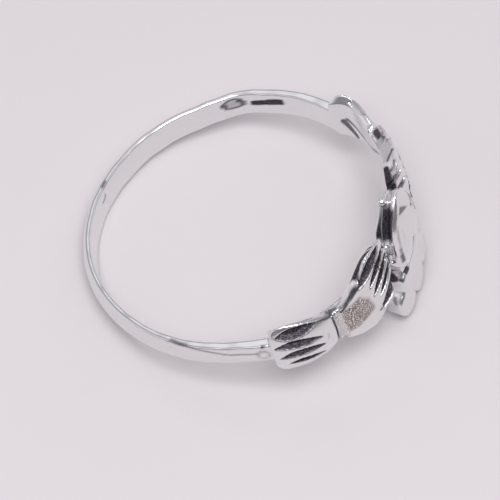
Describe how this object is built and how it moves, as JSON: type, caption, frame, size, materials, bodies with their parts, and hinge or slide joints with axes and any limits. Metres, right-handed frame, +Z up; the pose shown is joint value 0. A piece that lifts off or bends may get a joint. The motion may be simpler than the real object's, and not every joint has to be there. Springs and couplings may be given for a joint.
{
  "type": "claddagh ring",
  "caption": "Cast silver finger ring: two cuffed hands hold a crowned heart on a narrow round band.",
  "frame": {"origin": "centre of the bounding box in plan, on the surface that the ring rests on", "axes": "+Z up from the surface, +X towards the crowned heart, +Y towards the hand at the struck marks"},
  "size_m": [0.0198, 0.0186, 0.0085],
  "materials": {
    "silver": "worn polish with dark tarnish in the recesses"
  },
  "bodies": {
    "root": {"claddagh_ring": "silver"}
  },
  "joints": []
}
